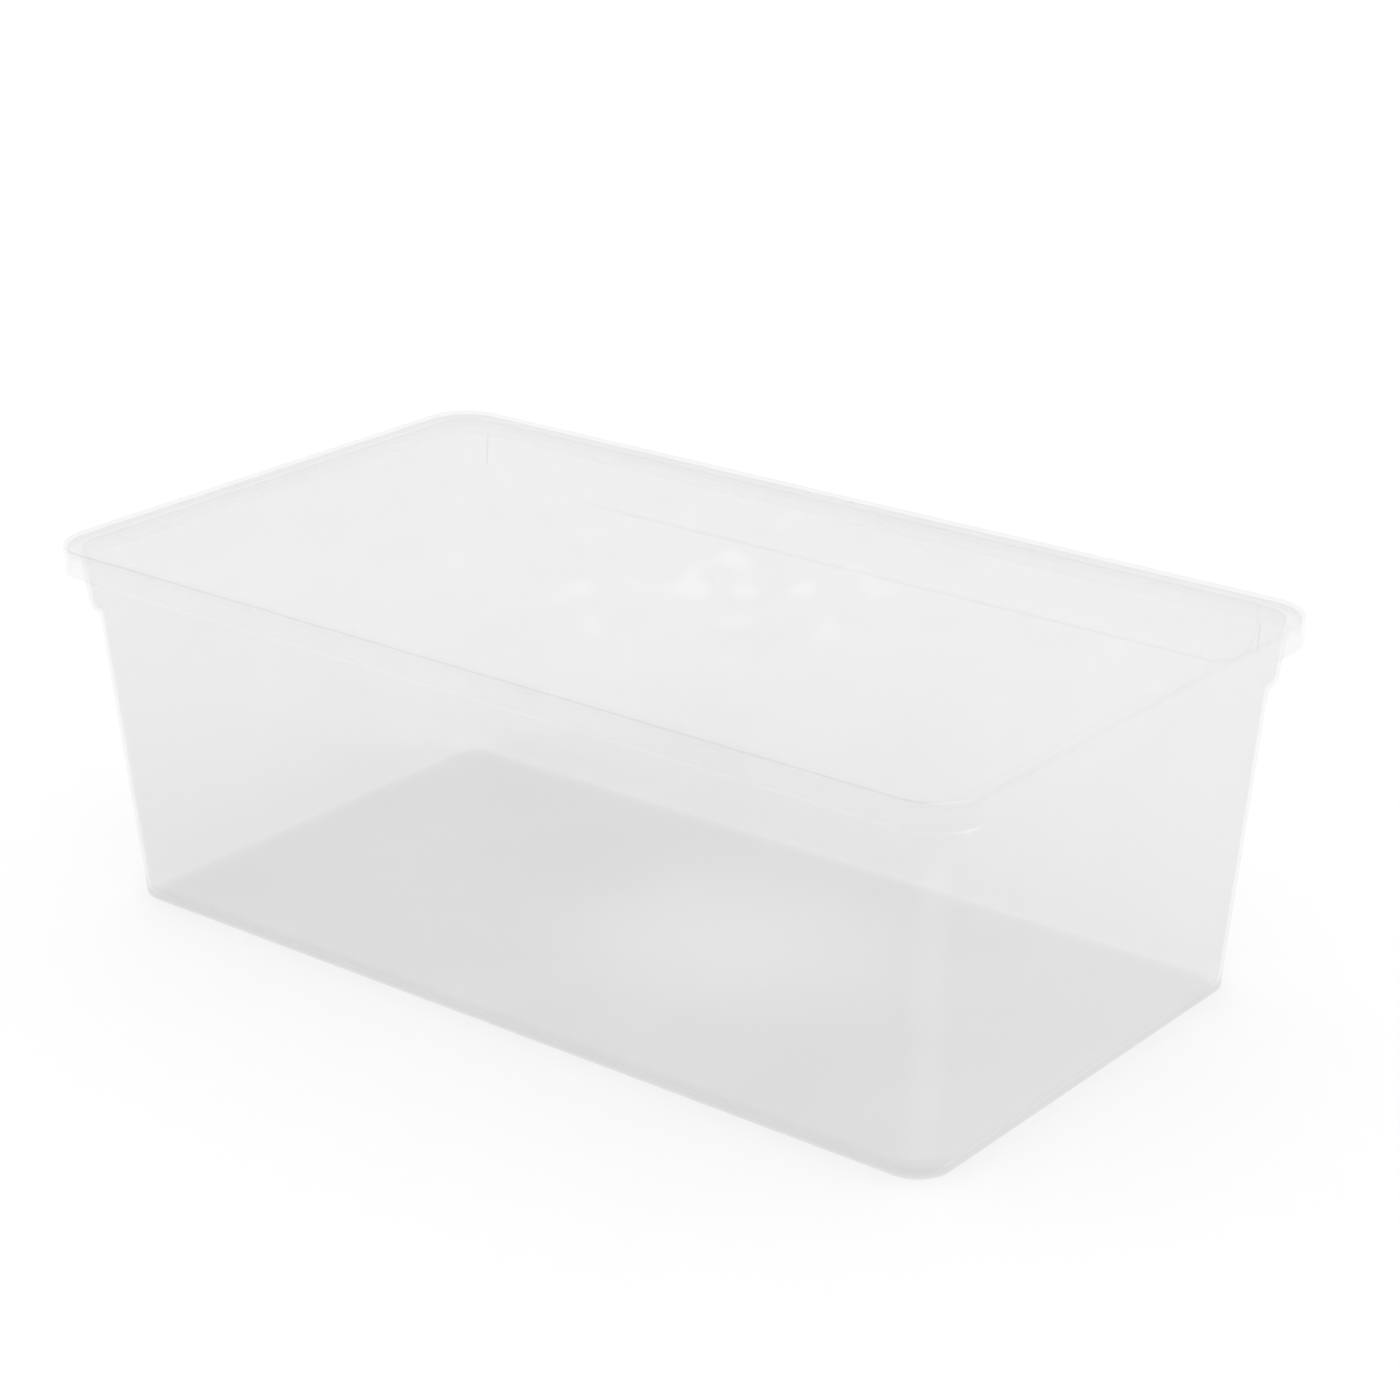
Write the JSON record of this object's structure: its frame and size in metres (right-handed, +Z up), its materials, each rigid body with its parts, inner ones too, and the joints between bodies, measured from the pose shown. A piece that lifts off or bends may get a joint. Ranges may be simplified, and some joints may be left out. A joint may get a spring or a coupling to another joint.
{
  "type": "plastic storage box",
  "caption": "Clear plastic storage box with tapered round-cornered walls, a stepped collar, an out-turned rim and a flat lift-off lid whose skirt drops over the rim.",
  "frame": {"origin": "middle of the base, on the ground", "axes": "+X along the long side, +Y along the short side, +Z up through the lid"},
  "size_m": [0.34, 0.192, 0.119],
  "materials": {
    "clear_tub": "clear colourless polypropylene, glossy as moulded",
    "clear_lid": "clear colourless polypropylene, glossy, slightly wavy"
  },
  "bodies": {
    "tub": {"tub": "clear_tub"},
    "lid": {"lid": "clear_lid"}
  },
  "joints": [
    {"name": "lid_lift", "type": "slide", "parent": "tub", "child": "lid", "axis": [0, 0, 1], "range_m": [0, 0.15]}
  ]
}
